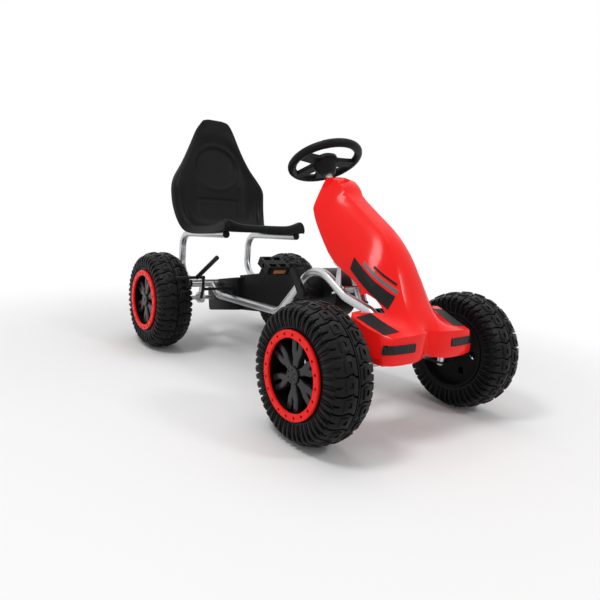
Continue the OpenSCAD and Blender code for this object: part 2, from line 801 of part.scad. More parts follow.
module chain() {
    lean = acos((chainring_r - sprocket_r) / chain_c);
    way = [sin(lean), -cos(lean)];
    run = chain_c * sin(lean);
    first = 3;
    last = floor(run / pitch) - 3;
    color(zinc) on_chain_line() {
        for (side = [-1, 1]) translate([0, 0, side > 0 ? chain_in : -chain_out])
            linear_extrude(chain_out - chain_in) difference() {
                chain_loop_2d(chain_half_h);
                chain_loop_2d(-chain_half_h);
            }
        for (k = [first:last]) for (top = [-1, 1]) {
            p = chainring_r * [cos(lean), top * sin(lean)] + k * pitch * [way[0], top * way[1]];
            translate([p[0], p[1], -chain_in]) cylinder(r = roller_r, h = 2 * chain_in, $fn = 24);
        }
    }
}

module case_2d(inset) {
    r = case_r - inset;
    circle(r);
    polygon([[0, r], [case_len + sink, r], [case_len + sink, -case_low + inset], [0, -r]]);
}

module box_2d(inset) {
    x0 = case_len + inset;
    x1 = chain_c + box_tail - inset;
    r = box_r - inset;
    for (p = [[x1 - r, box_top - inset - r], [x1 - r, -case_low + inset + r]]) translate(p) circle(r);
    polygon([[x0, box_top - inset], [x1 - r, box_top - inset], [x1 - r, -case_low + inset], [x0, -case_low + inset]]);
    translate([x1 - 2 * r, -case_low + inset + r]) square([2 * r, box_top + case_low - 2 * inset - 2 * r]);
}

module chain_case(side) {
    slot_u = [(cross_y - crank_y) * cos(chain_slope) + (cross_z - crank_z) * sin(chain_slope),
              (cross_z - crank_z) * cos(chain_slope) - (cross_y - crank_y) * sin(chain_slope)];
    slot_r = cross_r;
    color(black) on_chain_line() mirror([0, 0, side < 0 ? 1 : 0]) difference() {
        union() {
            linear_extrude(case_half) case_2d(0);
            linear_extrude(box_half) box_2d(0);
        }
        translate([0, 0, -sink]) linear_extrude(case_half - case_wall + sink) case_2d(case_wall);
        translate([0, 0, -sink]) linear_extrude(box_half - case_wall + sink) box_2d(case_wall);
        translate([case_len - sink, -case_low + case_wall, -sink])
            cube([case_wall + 2 * sink, case_low + box_top - 2 * case_wall, case_half - case_wall + sink]);
        translate([0, 0, -sink]) cylinder(r = crank_r + shaft_gap, h = box_half + 2 * sink);
        translate([chain_c, 0, -sink]) cylinder(r = axle_r + shaft_gap, h = box_half + 2 * sink);
        translate([slot_u[0], slot_u[1], -sink]) {
            cylinder(r = slot_r, h = box_half + 2 * sink);
            translate([0, -slot_r, 0]) cube([chain_c, 2 * slot_r, box_half + 2 * sink]);
        }
    }
}

module chain_case_right() chain_case(-1);
module chain_case_left() chain_case(1);

module crank() {
    reach = arm_x + arm_t + sink;
    color(black) {
        bar_x(-reach, reach, crank_y, crank_z, crank_r);
        for (side = [-1, 1]) {
            a = side < 0 ? crank_angle : crank_angle + 180;
            tip = [crank_y, crank_z] + crank_len * [cos(a), sin(a)];
            plate_yz(side * (arm_x + arm_t / 2), arm_t) translate([crank_y, crank_z]) rotate(a)
                link_2d(arm_boss_r, arm_tip_r, crank_len);
            bar_x(side * (arm_x + sink), side * (pedal_in + pedal_w - 6), tip[0], tip[1], spindle_r);
        }
    }
}

module on_pedal(side) {
    a = side < 0 ? crank_angle : crank_angle + 180;
    translate([side * (pedal_in + pedal_w / 2), crank_y + crank_len * cos(a), crank_z + crank_len * sin(a)])
        rotate([pedal_tilt, 0, 0]) children();
}

module pedal(side) {
    win_w = (pedal_w - 3 * pedal_bar) / 2;
    win_d = pedal_d / 2 - pedal_bar - spindle_r - 5;
    win_y = spindle_r + 5;
    color(black) on_pedal(side) difference() {
        union() {
            translate([-pedal_w / 2, -pedal_d / 2 + 6, -pedal_t / 2]) cube([pedal_w, pedal_d - 12, pedal_t]);
            translate([-pedal_w / 2 + 8, -pedal_d / 2, -pedal_t / 2 + 3]) cube([pedal_w - 16, pedal_d, pedal_t - 6]);
        }
        for (sx = [-1, 1]) for (sy = [-1, 1])
            translate([sx * (win_w + pedal_bar) / 2 - win_w / 2, sy > 0 ? win_y : -win_y - win_d, -pedal_t])
                cube([win_w, win_d, 2 * pedal_t]);
        for (sy = [-1, 1]) translate([-reflector_w / 2, sy > 0 ? pedal_d / 2 - reflector_t : -pedal_d / 2 - sink, -reflector_h / 2])
            cube([reflector_w, reflector_t + sink, reflector_h]);
        rotate([0, 90, 0]) translate([0, 0, -pedal_w]) cylinder(r = spindle_r + run_gap, h = 2 * pedal_w);
    }
}

module pedal_reflectors(side) {
    color(amber) on_pedal(side) for (sy = [-1, 1])
        translate([-reflector_w / 2, sy > 0 ? pedal_d / 2 - reflector_t : -pedal_d / 2, -reflector_h / 2])
            cube([reflector_w, reflector_t, reflector_h]);
}

module pedal_right() pedal(-1);
module pedal_left() pedal(1);
module pedal_reflectors_right() pedal_reflectors(-1);
module pedal_reflectors_left() pedal_reflectors(1);

// Brake: a bent rod that swings a bar against the right rear tyre
module brake_bracket() {
    run = rail_path[2] - rail_path[1];
    foot_z = rail_path[1][1] + (brake_y - rail_path[1][0]) * run[1] / run[0] - brake_foot_drop;
    color(black) difference() {
        union() {
            plate_yz(-rail_x, plate_t) polygon([
                [brake_y - brake_foot, foot_z], [brake_y + brake_foot, foot_z],
                [brake_y + brake_house_r, brake_z], [brake_y - brake_house_r, brake_z]]);
            bar_x(-brake_house_out, -brake_house_in, brake_y, brake_z, brake_house_r);
        }
        rail(-1, 0);
        bar_x(-brake_house_out - sink, -brake_house_in + sink, brake_y, brake_z, rod_r + run_gap);
    }
}

module brake_lever() {
    knot = rod_r + 1;
    corner = [-brake_arm_x, brake_y, brake_bar_z];
    grip = [-lever_x, brake_y, brake_bar_z];
    tip = grip + lever_len * [0, -cos(lever_rise), sin(lever_rise)];
    color(black) {
        bar_x(-brake_arm_x, -brake_house_in + 4, brake_y, brake_z, rod_r);
        bar_x(-brake_house_out - face_gap - 6, -brake_house_out - face_gap, brake_y, brake_z, rod_r + 3);
        translate([-brake_arm_x, brake_y, brake_z]) sphere(r = knot);
        rod([-brake_arm_x, brake_y, brake_z], corner, rod_r - 0.3);
        rod([-brake_arm_x, brake_y, brake_z], [-brake_arm_x, brake_y + 10, brake_z - 36], rod_r - 0.3);
        translate(corner) sphere(r = knot);
        bar_x(-brake_arm_x, -brake_bar_out, brake_y, brake_bar_z, rod_r);
        rod(grip, tip, lever_r);
    }
}

// Seat tubes
module seat_rail(side, wall) {
    bent_tube(side * seat_tube_x, seat_path, seat_bend, tube_r, wall);
}

module seat_tube(side) {
    color(steel) difference() {
        seat_rail(side, tube_wall);
        bar_x(-cross_half, cross_half, cross_y, cross_z, cross_r);
    }
}

module seat_tube_right() seat_tube(-1);
module seat_tube_left() seat_tube(1);

module plug(r) {
    translate([0, 0, -12]) cylinder(r = r - tube_wall, h = 12);
    rotate_extrude() polygon([[0, 0], [r, 0], [r, 2], [r - 2, 4], [0, 4]]);
}

module tube_plugs() {
    color(black) for (side = [-1, 1]) {
        translate([side * seat_tube_x, seat_path[0][0], seat_path[0][1]])
            rotate([seat_arm_angle + 90, 0, 0]) plug(tube_r);
        translate([side * cross_half, cross_y, cross_z]) rotate([0, side * 90, 0]) plug(cross_r);
    }
}

// Seat moulding. Each row is a station from the front skirt over the pan and
// up the back: middle (y, z), bolster crest (y, z), half width and skirt depth
seat_rows = [
    // front skirt, front lip and pan
    [[213, 474], [214, 477], 177, [0, 0]],
    [[211, 492], [212, 512], 178, [0, -18]],
    [[222, 506], [224, 528], 179, [0, -46]],
    [[262, 492], [262, 514], 180, [0, -40]],
    [[330, 473], [330, 494], 179, [0, -34]],
    [[410, 463], [410, 486], 178, [0, -34]],
    [[480, 460], [478, 480], 182, [2, -34]],
    // bend into the back
    [[538, 464], [512, 490], 192, [14, -36]],
    [[580, 492], [534, 518], 204, [24, -22]],
    [[600, 545], [552, 553], 211, [32, -8]],
    [[608, 595], [562, 592], 214, [32, -6]],
    [[615, 640], [566, 630], 214, [32, -6]],
    [[624, 685], [590, 668], 196, [30, -8]],
    [[634, 730], [612, 716], 160, [28, -8]],
    [[644, 778], [630, 770], 131, [24, -8]],
    [[653, 830], [647, 826], 106, [15, -8]],
    [[660, 875], [656, 872], 86, [11, -8]],
    // rolled top edge
    [[663, 910], [659, 905], 60, [7, -8]],
    [[674, 910], [671, 903], 54, [0, 0]],
    [[675, 890], [673, 888], 58, [0, 0]]];

function seat_row(r) = let (w = r[2], mid = r[0], crest = r[1], skirt = r[3])
    [for (v = [[0, 0, 0], [0.34, 0, 0], [0.62, 0.08, 0], [0.8, 0.55, 0], [0.93, 1, 0], [1, 0.9, 0.25], [1.015, 0.8, 1]])
        let (q = mid + v[1] * (crest - mid) + v[2] * skirt) [v[0] * w, q[0], q[1]]];

// Round dish in the seat back
dish_z = 748;
dish_half = [98, 88];
dish_depth = 9;
function dish(p) = let (d = norm([p[0] / dish_half[0], (p[2] - dish_z) / dish_half[1]]))
    p[1] < 560 || d > 1.12 ? 0 : dish_depth * min(1, (1.12 - d) / 0.2);

function turned(row) = [for (j = [len(row) - 1:-1:0]) row[j]];
function seat_net() = let (net = round_net([for (r = seat_rows) turned(mirror_row(seat_row(r)))], [], []))
    [for (i = [0:len(net) - 1]) [for (j = [0:len(net[0]) - 1])
        net[i][j] - dish(net[i][j]) * net_normal(net, i, j)]];

module seat_shell() {
    color(black) sheet(seat_net(), seat_wall);
}

module seat_studs() {
    color(zinc) difference() {
        union() for (side = [-1, 1]) for (k = [0, 1]) {
            z = seat_path[0][1] + tan(seat_arm_angle) * (stud_y[k] - seat_path[0][0]);
            rise = seat_pan_z[k] - 1.12 * seat_wall + sink - z;
            translate([side * seat_tube_x, stud_y[k], z]) {
                cylinder(r = stud_r, h = rise);
                cylinder(r = stud_pin_r, h = rise + 2);
            }
        }
        seat_rail(-1, 0);
        seat_rail(1, 0);
    }
}

// Fairing moulding. Each row runs from the middle of the top band over the
// crease and down the side; the last four points are the lower edge and its
// lip, which widen into a bumper block at the front
fairing_rows = [
    // rear edge and collar round the column
    [[0, -158, 690], [40, -160, 684], [60, -166, 655], [80, -172, 622], [95, -176, 592], [95, -177, 584], [86, -177, 584], [78, -177, 588]],
    [[0, -200, 690], [40, -202, 684], [60, -190, 645], [82, -186, 610], [97, -188, 570], [97, -189, 562], [88, -189, 562], [80, -189, 566]],
    [[0, -238, 664], [38, -240, 658], [60, -228, 622], [84, -216, 580], [98, -200, 552], [98, -201, 544], [89, -201, 544], [81, -201, 548]],
    // hood
    [[0, -250, 643], [32, -252, 639], [60, -252, 600], [88, -246, 556], [102, -236, 512], [102, -237, 504], [93, -237, 504], [85, -237, 508]],
    [[0, -338, 588], [31, -339, 586], [62, -328, 542], [92, -312, 500], [106, -288, 460], [106, -289, 452], [97, -289, 452], [89, -289, 456]],
    [[0, -400, 552], [32, -401, 549], [64, -384, 508], [96, -366, 466], [108, -338, 434], [108, -339, 426], [99, -339, 426], [91, -339, 430]],
    [[0, -442, 522], [33, -442, 518], [66, -430, 480], [98, -414, 444], [111, -398, 412], [111, -400, 404], [102, -400, 404], [94, -400, 408]],
    [[0, -482, 480], [38, -480, 474], [70, -472, 440], [100, -464, 406], [113, -452, 380], [114, -454, 371], [105, -456, 371], [97, -456, 376]],
    // bumper blocks
    [[0, -514, 432], [43, -511, 424], [72, -504, 396], [98, -496, 364], [114, -480, 338], [184, -478, 328], [194, -478, 262], [188, -478, 240]],
    [[0, -540, 385], [47, -536, 376], [74, -532, 352], [96, -528, 332], [114, -524, 320], [180, -522, 314], [194, -524, 252], [188, -524, 232]],
    [[0, -566, 344], [48, -564, 336], [74, -564, 320], [94, -565, 311], [114, -566, 306], [172, -566, 301], [191, -570, 244], [186, -568, 224]],
    [[0, -586, 312], [40, -598, 308], [70, -606, 300], [92, -609, 297], [114, -610, 296], [158, -608, 293], [186, -604, 240], [182, -602, 220]],
    [[0, -592, 290], [24, -616, 294], [56, -621, 294], [90, -622, 293], [114, -622, 293], [152, -620, 291], [178, -613, 246], [177, -610, 222]],
    // front face and lower lip
    [[0, -592, 236], [24, -615, 224], [56, -621, 217], [90, -622, 216], [114, -622, 216], [148, -620, 217], [172, -615, 220], [173, -608, 217]],
    [[0, -582, 224], [24, -592, 217], [56, -596, 215], [90, -596, 215], [114, -596, 215], [140, -596, 215], [158, -597, 215], [166, -596, 215]],
    [[0, -566, 222], [24, -574, 216], [56, -576, 215], [90, -576, 215], [114, -576, 215], [134, -576, 215], [150, -576, 215], [160, -576, 215]]];

function fairing_net() = round_net([for (row = fairing_rows) mirror_row(row)], front_fold, side_folds);

module front_fairing() {
    color(red) difference() {
        // the moulded shell, open between the hood's lower edge and each block
        resize([0, 0, 0]) difference() {
            sheet(fairing_net(), fairing_wall);
            for (side = [-1, 1]) plate_yz(side * (gap_in + gap_out) / 2, gap_out - gap_in) polygon(hood_gap);
        }
        for (side = [-1, 1]) translate([side * screw_x, strip_y + strip_d / 2, lip_z - sink])
            cylinder(r = screw_r + 0.2, h = fairing_wall + 3 * sink);
        for (side = [-1, 1]) on_stay(side) translate([0, 0, -sink])
            cylinder(r = screw_r + 0.2, h = 3 * fairing_wall);
    }
}

// Places under the hood's turned-in edge where a stay from the frame holds it
module on_stay(side) {
    translate([side * stay_at[0], stay_at[1], stay_at[2]]) rotate([stay_lean, 0, 0]) children();
}

module fairing_bracket() {
    seat_z = lip_z + fairing_wall + strip_lift;
    color(steel) difference() {
        union() {
            for (side = [-1, 1]) on_side(side)
                translate([strip_in, strip_y, seat_z]) cube([strip_out - strip_in, strip_d, strip_t]);
            for (side = [-1, 1]) plate_yz(side * bracket_x, plate_t) polygon([
                [strip_y, seat_z + strip_t / 2], [strip_y, seat_z + strip_t + 10],
                [front_axle_y - 6, seat_z + strip_t + 10], [front_axle_y, beam_z],
                [front_axle_y - beam_r, beam_z - 4], [lip_back + 8, seat_z]]);
        }
        bar_x(-king_x, king_x, front_axle_y, beam_z, beam_r);
        for (side = [-1, 1]) translate([side * screw_x, strip_y + strip_d / 2, 0]) cylinder(r = screw_r, h = axle_z * 2);
    }
    color(steel) for (side = [-1, 1]) difference() {
        union() {
            on_stay(side) translate([-10, -10, -strip_t]) cube([20, 20, strip_t]);
            plate_yz(side * (rail_x + 0.5), strip_t) polygon([
                [stay_at[1] - 8, stay_at[2] - 7], [stay_at[1] + 7, stay_at[2] + 1],
                [stay_at[1] + 12, rail_z_at_stay], [stay_at[1] - 14, rail_z_at_stay]]);
        }
        rail(side, 0);
        on_stay(side) translate([0, 0, -2 * strip_t]) cylinder(r = screw_r, h = 3 * strip_t);
    }
}

module fairing_screws() {
    color(zinc) for (side = [-1, 1]) translate([side * screw_x, strip_y + strip_d / 2, lip_z]) {
        translate([0, 0, -screw_head_t]) cylinder(r = screw_head_r, h = screw_head_t);
        cylinder(r = screw_r, h = fairing_wall + strip_t + 8);
        translate([0, 0, fairing_wall + strip_lift + strip_t]) cylinder(r = screw_head_r, h = screw_head_t, $fn = 6);
    }
    color(zinc) for (side = [-1, 1]) on_stay(side) {
        translate([0, 0, -strip_t - screw_head_t]) cylinder(r = screw_head_r, h = screw_head_t);
        translate([0, 0, -strip_t]) cylinder(r = screw_r, h = strip_t + fairing_wall + nut_lift + screw_head_t + 2);
        translate([0, 0, fairing_wall + nut_lift]) rotate([0, 0, 30])
            cylinder(r = screw_head_r, h = screw_head_t, $fn = 6);
    }
}

frame_tube_right();
frame_tube_left();
rear_cross_member();
front_axle_beam();
crank_brackets();
crank_bushes();
rear_axle_bearings();
steering_support();
column_bushes();
fairing_bracket();
fairing_screws();
front_fairing();
seat_tube_right();
seat_tube_left();
tube_plugs();
seat_shell();
seat_studs();
chain_case_right();
chain_case_left();
chain();
brake_bracket();
kingpins();
steering_wheel();
steering_wheel_cap();
steering_column();
knuckle_right();
knuckle_left();
axle_nut_front_right();
axle_nut_front_left();
tie_rod_right();
tie_rod_left();
tyre_front_right();
rim_front_right();
trim_ring_front_right();
hub_cap_front_right();
hub_bushes_front_right();
tyre_front_left();
rim_front_left();
trim_ring_front_left();
hub_cap_front_left();
hub_bushes_front_left();
rear_axle();
rear_sprocket();
axle_nuts_rear();
tyre_rear_right();
rim_rear_right();
trim_ring_rear_right();
hub_cap_rear_right();
tyre_rear_left();
rim_rear_left();
trim_ring_rear_left();
hub_cap_rear_left();
hub_bushes_rear_left();
crank();
chainring();
pedal_right();
pedal_left();
pedal_reflectors_right();
pedal_reflectors_left();
brake_lever();
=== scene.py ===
import json
import math
import bmesh
import bpy
from mathutils import Matrix, Vector
from mathutils.bvhtree import BVHTree

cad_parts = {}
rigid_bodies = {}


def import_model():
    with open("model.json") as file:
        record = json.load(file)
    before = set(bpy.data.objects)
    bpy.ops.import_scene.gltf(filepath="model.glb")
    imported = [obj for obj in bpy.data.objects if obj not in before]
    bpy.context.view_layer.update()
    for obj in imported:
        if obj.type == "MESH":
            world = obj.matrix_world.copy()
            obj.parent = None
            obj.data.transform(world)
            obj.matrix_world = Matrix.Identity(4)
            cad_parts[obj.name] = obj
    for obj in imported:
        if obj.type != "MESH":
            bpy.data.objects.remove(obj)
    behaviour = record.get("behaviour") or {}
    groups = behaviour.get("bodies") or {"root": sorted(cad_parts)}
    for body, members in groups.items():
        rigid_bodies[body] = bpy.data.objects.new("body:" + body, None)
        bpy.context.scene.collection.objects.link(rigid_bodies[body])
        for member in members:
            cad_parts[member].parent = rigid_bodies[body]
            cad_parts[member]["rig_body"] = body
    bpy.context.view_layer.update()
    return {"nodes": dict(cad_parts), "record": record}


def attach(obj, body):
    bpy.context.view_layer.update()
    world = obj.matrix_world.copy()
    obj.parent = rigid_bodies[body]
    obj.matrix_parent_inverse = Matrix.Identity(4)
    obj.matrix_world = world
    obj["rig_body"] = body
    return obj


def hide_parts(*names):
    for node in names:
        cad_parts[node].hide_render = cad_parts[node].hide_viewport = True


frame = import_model()
nodes = frame["nodes"]
mm = 0.001
fullTurn = 2 * math.pi
sides = {"right": -1, "left": 1}
print("frame loaded:", len(nodes), "nodes")

# camera, lights and the pale floor
shot = {
    "place": (-1.1580, -1.5206, 0.6146), "yaw": 37.774, "pitch": 10.471, "roll": 4.809,
    "lens": 32.947, "sensor": 36,
}
stage = {"floor": 30.0, "sky": 0.45, "nearWhite": 0.7, "farWhite": 1.9}
lamps = {
    "overhead": {"place": (0.3, 0.3, 3.4), "aim": (0, 0, 0.3), "size": 3.0, "power": 26},
    "key": {"place": (-1.55, -0.35, 2.65), "aim": (0, -0.2, 0.4), "size": 0.7, "power": 24},
    "fill": {"place": (0.9, -2.6, 2.3), "aim": (0, -0.2, 0.35), "size": 0.6, "power": 17},
}


def addObject(name, data):
    made = bpy.data.objects.new(name, data)
    bpy.context.scene.collection.objects.link(made)
    return made


def setCamera():
    yaw, pitch, roll = (math.radians(shot[k]) for k in ("yaw", "pitch", "roll"))
    flat = math.cos(pitch)
    ahead = Vector((flat * math.sin(yaw), flat * math.cos(yaw), -math.sin(pitch)))
    level = ahead.cross(Vector((0, 0, 1))).normalized()
    rise = level.cross(ahead)
    right = level * math.cos(roll) + rise * math.sin(roll)
    up = rise * math.cos(roll) - level * math.sin(roll)
    data = bpy.data.cameras.new("photoCamera")
    data.sensor_width = shot["sensor"]
    data.lens = shot["lens"]
    cam = addObject("photoCamera", data)
    turn = Matrix((right, up, -ahead)).transposed().to_4x4()
    cam.matrix_world = Matrix.Translation(shot["place"]) @ turn
    bpy.context.scene.camera = cam


def addLamp(name, spec):
    data = bpy.data.lights.new(name, "AREA")
    data.shape = "DISK"
    data.size = spec["size"]
    data.energy = spec["power"]
    lamp = addObject(name, data)
    lamp.location = spec["place"]
    toward = Vector(spec["aim"]) - Vector(spec["place"])
    lamp.rotation_euler = toward.to_track_quat("-Z", "Y").to_euler()


class Wire:
    # a shader socket that takes part in Python sums
    def __init__(self, bench, socket):
        self.bench = bench
        self.socket = socket

    def calc(self, operation, *others):
        return self.bench.node("ShaderNodeMath", {"operation": operation}, self, *others)

    def __add__(self, other):
        return self.calc("ADD", other)

    def __radd__(self, other):
        return self.calc("ADD", other)

    def __sub__(self, other):
        return self.calc("SUBTRACT", other)

    def __rsub__(self, other):
        return self.bench.node("ShaderNodeMath", {"operation": "SUBTRACT"}, other, self)

    def __mul__(self, other):
        return self.calc("MULTIPLY", other)

    def __rmul__(self, other):
        return self.calc("MULTIPLY", other)

    def above(self, edge, soft):
        # 0 below the edge, 1 above it
        smooth = {"interpolation_type": "SMOOTHSTEP"}
        return self.bench.node("ShaderNodeMapRange", smooth, self, edge - soft, edge + soft, 0.0, 1.0)


# each finish: its two tones, its roughness and how far a mask raises that
looks = {
    "satinTube": {"dark": (0.52, 0.53, 0.545), "light": (0.66, 0.67, 0.685),
                  "rough": 0.27, "vary": 0.1},
    "zincPlate": {"dark": (0.45, 0.45, 0.44), "light": (0.62, 0.62, 0.60),
                  "rough": 0.3, "vary": 0.2},
    "blackPaint": {"dark": (0.006, 0.006, 0.007), "light": (0.014, 0.014, 0.015),
                   "rough": 0.28, "vary": 0.16},
    "nylonBush": {"dark": (0.02, 0.02, 0.02), "light": (0.035, 0.035, 0.035),
                  "rough": 0.5, "vary": 0.12},
    "grainedPlastic": {"dark": (0.005, 0.005, 0.006), "light": (0.009, 0.009, 0.010),
                       "rough": 0.36, "vary": 0.12},
    "caseBlack": {"dark": (0.008, 0.008, 0.009), "light": (0.013, 0.013, 0.014),
                  "rough": 0.3, "vary": 0.12},
    "barrelBlack": {"dark": (0.005, 0.005, 0.005), "light": (0.010, 0.010, 0.010),
                    "rough": 0.5, "vary": 0.12},
    "graphiteFace": {"dark": (0.032, 0.032, 0.03328), "light": (0.052, 0.052, 0.05408),
                     "rough": 0.14, "vary": 0.08},
    "foamTyre": {"dark": (0.004, 0.004, 0.004), "light": (0.008, 0.008, 0.009),
                 "rough": 0.32, "vary": 0.16},
    "fairingRed": {"dark": (0.93, 0.010, 0.008), "light": (0.98, 0.014, 0.011),
                   "rough": 0.14, "vary": 0.1},
    "ringRed": {"dark": (0.93, 0.010, 0.008), "light": (0.98, 0.014, 0.011),
                "rough": 0.22, "vary": 0.1},
    "charcoalFilm": {"dark": (0.009, 0.009, 0.010), "light": (0.015, 0.015, 0.016),
                     "rough": 0.36, "vary": 0.1},
    "greyFilm": {"dark": (0.13, 0.135, 0.14), "light": (0.16, 0.165, 0.17),
                 "rough": 0.3, "vary": 0.1},
    "smokedLens": {"dark": (0.004, 0.004, 0.005), "light": (0.016, 0.016, 0.018),
                   "rough": 0.16, "vary": 0.05},
    # amberLens: its light tone is a painted glint in the middles of the cells
    "amberLens": {"dark": (0.30, 0.08, 0.006), "light": (0.55, 0.18, 0.012),
                  "rough": 0.12, "vary": 0.25},
    "paleFloor": {"dark": (0.97, 0.97, 0.97), "light": (0.98, 0.98, 0.98)},
}


class Bench:
    # one material and the nodes on it
    def __init__(self, name, **plain):
        self.mat = bpy.data.materials.new(name)
        self.mat.use_nodes = True
        self.tree = self.mat.node_tree
        self.shader = self.tree.nodes["Principled BSDF"]
        self.look = looks[name]
        self.place = self.node("ShaderNodeTexCoord", out="Object")
        self.give(**plain)

    def plug(self, socket, value):
        if isinstance(value, Wire):
            self.tree.links.new(value.socket, socket)
        elif value is not None:
            socket.default_value = value

    def node(self, kind, settings=None, *inputs, out=0, **named):
        made = self.tree.nodes.new(kind)
        for key, value in (settings or {}).items():
            setattr(made, key, value)
        for socket, value in zip(made.inputs, inputs):
            self.plug(socket, value)
        for name, value in named.items():
            self.plug(made.inputs[name.replace("_", " ")], value)
        return Wire(self, made.outputs[out])

    def give(self, **sockets):
        for name, value in sockets.items():
            self.plug(self.shader.inputs[name.replace("_", " ")], value)

    def noise(self, scale, detail, stretch=None):
        where = self.place
        if stretch:
            where = self.node("ShaderNodeMapping", Vector=where, Scale=stretch)
        return self.node("ShaderNodeTexNoise", Vector=where, Scale=scale, Detail=detail, out="Fac")

    def cells(self, scale):
        return self.node("ShaderNodeTexVoronoi", Vector=self.place, Scale=scale, out="Distance")

    def tint(self, mask):
        # a Mix node's colour sockets come after five of other kinds
        dark = (*self.look["dark"], 1.0)
        light = (*self.look["light"], 1.0)
        return self.node("ShaderNodeMix", {"data_type": "RGBA"}, mask, *[None] * 5, dark, light, out=2)

    def coat(self, tone, gloss=None):
        # one mask moves the colour, and the same or another one the roughness
        rough = self.look["rough"] + (gloss or tone) * self.look["vary"]
        self.give(Base_Color=self.tint(tone), Roughness=rough)

    def bump(self, height, strength, distance):
        # the relief comes last, so it hands over the finished material
        relief = self.node("ShaderNodeBump", Strength=strength, Distance=distance, Height=height)
        self.give(Normal=relief)
        return self.mat

    def seen(self):
        # 1 on the rays that show the background itself, in mirrors and glass too
        kinds = ("Is Camera Ray", "Is Glossy Ray", "Is Transmission Ray")
        camera, mirror, glass = (self.node("ShaderNodeLightPath", out=kind) for kind in kinds)
        return camera.calc("MAXIMUM", mirror.calc("MAXIMUM", glass))


class SkyBench(Bench):
    # the nodes of a world
    def __init__(self, sky):
        self.tree = sky.node_tree


def makeSatinTube():
    bench = Bench("satinTube", Metallic=0.9)
    smear = bench.noise(90, detail=4, stretch=(1, 0.15, 1))
    speck = bench.noise(900, detail=2)
    bench.coat(smear)
    return bench.bump(speck * 0.4 + smear * 0.6, strength=0.02, distance=0.0003)


def makeZinc():
    bench = Bench("zincPlate", Metallic=0.9)
    bench.coat(bench.cells(260))  # the spangle of the plating
    return bench.bump(bench.noise(500, detail=3), strength=0.06, distance=0.0003)


def makeBlackPaint():
    bench = Bench("blackPaint", Specular_IOR_Level=0.16)
    bench.coat(bench.noise(60, detail=4))
    return bench.bump(bench.noise(700, detail=2), strength=0.08, distance=0.0003)


def makeGrained(name, grain, depth, shine=0.1):
    # moulded plastic with a fine leather-like grain
    bench = Bench(name, Specular_IOR_Level=shine)
    bench.coat(bench.noise(9, detail=3))
    return bench.bump(bench.cells(grain), strength=depth, distance=0.0006)


def makeGraphite():
    # glossy dark grey moulding with a little metal flake
    bench = Bench("graphiteFace", Metallic=0.55, Specular_IOR_Level=0.3)
    flake = bench.cells(1500)
    bench.coat(bench.noise(12, detail=3), flake)
    return bench.bump(flake, strength=0.03, distance=0.0003)


def makeTyre():
    bench = Bench("foamTyre", Specular_IOR_Level=0.13)
    bench.coat(bench.noise(14, detail=5))
    return bench.bump(bench.noise(420, detail=3), strength=0.25, distance=0.0008)  # pores


def makeRedGloss(name):
    # clear-coated red with a slow haze and a faint orange peel
    bench = Bench(name, Specular_IOR_Level=0.12, Coat_Weight=0.06, Coat_Roughness=0.03)
    bench.coat(bench.noise(6, detail=3))
    return bench.bump(bench.noise(160, detail=2), strength=0.04, distance=0.0004)


def makeVinyl(name):
    # thin satin film with a faint orange peel
    bench = Bench(name, Specular_IOR_Level=0.12)
    peel = bench.noise(300, detail=2)
    bench.coat(bench.noise(25, detail=3), peel)
    return bench.bump(peel, strength=0.05, distance=0.0003)


def makeLens():
    # dark lamp lens with upright flutes inside
    bench = Bench("smokedLens", Specular_IOR_Level=0.14, Coat_Weight=0.08, Coat_Roughness=0.03)
    across = bench.node("ShaderNodeSeparateXYZ", {}, bench.place, out="X")
    flute = (across * 900).calc("SINE")
    bench.coat(flute * 0.5 + 0.5, flute)
    return bench.bump(flute, strength=0.25, distance=0.0006)


def makeAmber():
    # small cells, smoothest in their middles, where a painted glint makes each one lighter
    bench = Bench("amberLens", Coat_Weight=0.6)
    cell = bench.cells(340)
    # the colour mask 1 - cell is a painted glint: lighter towards each cell's middle
    bench.coat(1 - cell, cell)
    return bench.bump(cell, strength=0.6, distance=0.001)


def makeFloor():
    # near the kart it takes the shadow, and further off it goes over into the white background
    bench = Bench("paleFloor", Roughness=0.9, Specular_IOR_Level=0.1)
    bench.give(Base_Color=bench.tint(bench.noise(3, detail=2)))
    reach = bench.node("ShaderNodeVectorMath", {"operation": "LENGTH"}, bench.place, out="Value")
    middle = (stage["nearWhite"] + stage["farWhite"]) / 2
    fade = reach.above(middle, middle - stage["nearWhite"])
    plain = Wire(bench, bench.shader.outputs[0])
    white = bench.node("ShaderNodeEmission")
    mixed = bench.node("ShaderNodeMixShader", {}, fade * bench.seen(), plain, white)
    bench.plug(bench.tree.nodes["Material Output"].inputs[0], mixed)
    return bench.mat


finish = {
    "satin_steel_tube": makeSatinTube(),
    "zinc_steel": makeZinc(),
    "black_painted_steel": makeBlackPaint(),
    "black_bushing": makeGrained("nylonBush", grain=900, depth=0.1),
    "black_plastic": makeGrained("grainedPlastic", grain=700, depth=0.15),
    "grey_plastic": makeGraphite(),
    "tyre_foam": makeTyre(),
    "red_gloss_plastic": makeRedGloss("fairingRed"),
    "red_trim": makeRedGloss("ringRed"),
    "amber_plastic": makeAmber(),
}
charcoalFilm = makeVinyl("charcoalFilm")
greyFilm = makeVinyl("greyFilm")
smokedLens = makeLens()
caseBlack = makeGrained("caseBlack", grain=700, depth=0.12, shine=0.14)
barrelBlack = makeGrained("barrelBlack", grain=800, depth=0.08)
slotOf = {entry["node"]: entry["material_slot"] for entry in frame["record"]["subparts"]}
print("finishes mixed:", len(looks))


def dress(piece, material):
    piece.data.materials.clear()
    piece.data.materials.append(material)


setCamera()
for name, spec in lamps.items():
    addLamp(name, spec)
world = bpy.data.worlds.new("studio")
bpy.context.scene.world = world
world.use_nodes = True
sky = SkyBench(world)
strength = stage["sky"] + sky.seen() * (1 - stage["sky"])
sky.plug(sky.tree.nodes["Background"].inputs["Strength"], strength)
sky.plug(sky.tree.nodes["Background"].inputs["Color"], (1, 1, 1, 1))
bpy.context.scene.view_settings.view_transform = "Standard"

